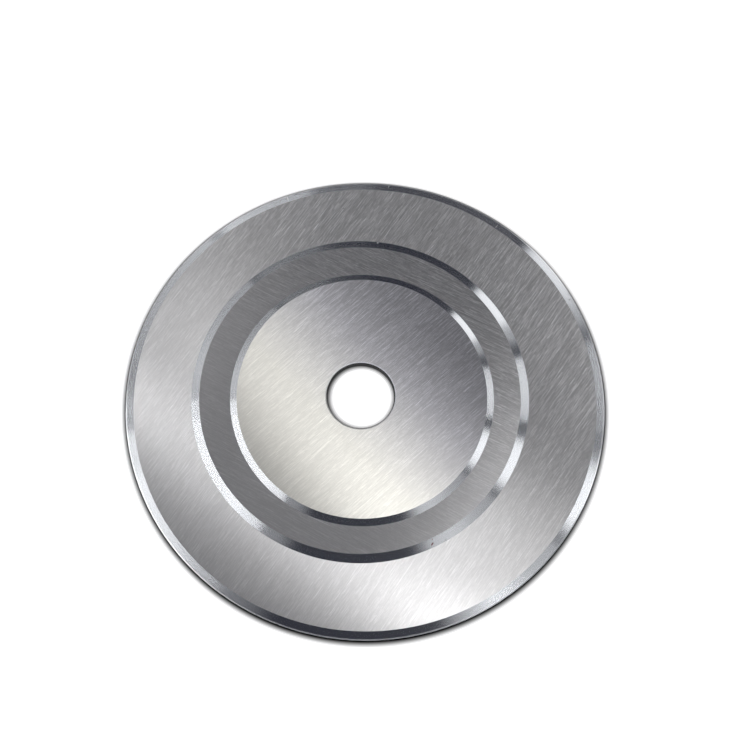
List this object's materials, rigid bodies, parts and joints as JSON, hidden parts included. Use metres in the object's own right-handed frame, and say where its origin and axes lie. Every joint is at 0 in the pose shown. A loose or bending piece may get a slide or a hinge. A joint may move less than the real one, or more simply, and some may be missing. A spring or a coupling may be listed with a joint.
{
  "type": "food slicer blade",
  "caption": "Round steel slicing blade with a bevelled cutting rim, ground front lands stepping up to a raised hub, a flat back and a plain arbor bore.",
  "frame": {"origin": "centre of the bore at the flat back face", "axes": "+Z along the bore axis, out of the raised hub side; +X and +Y lie in the back face, with the slightly off-centre middle land shifted towards -X and +Y"},
  "size_m": [0.18, 0.18, 0.0036],
  "materials": {
    "ground_steel": "fine ground and brushed bare steel"
  },
  "bodies": {
    "root": {"slicer_blade": "ground_steel"}
  },
  "joints": []
}
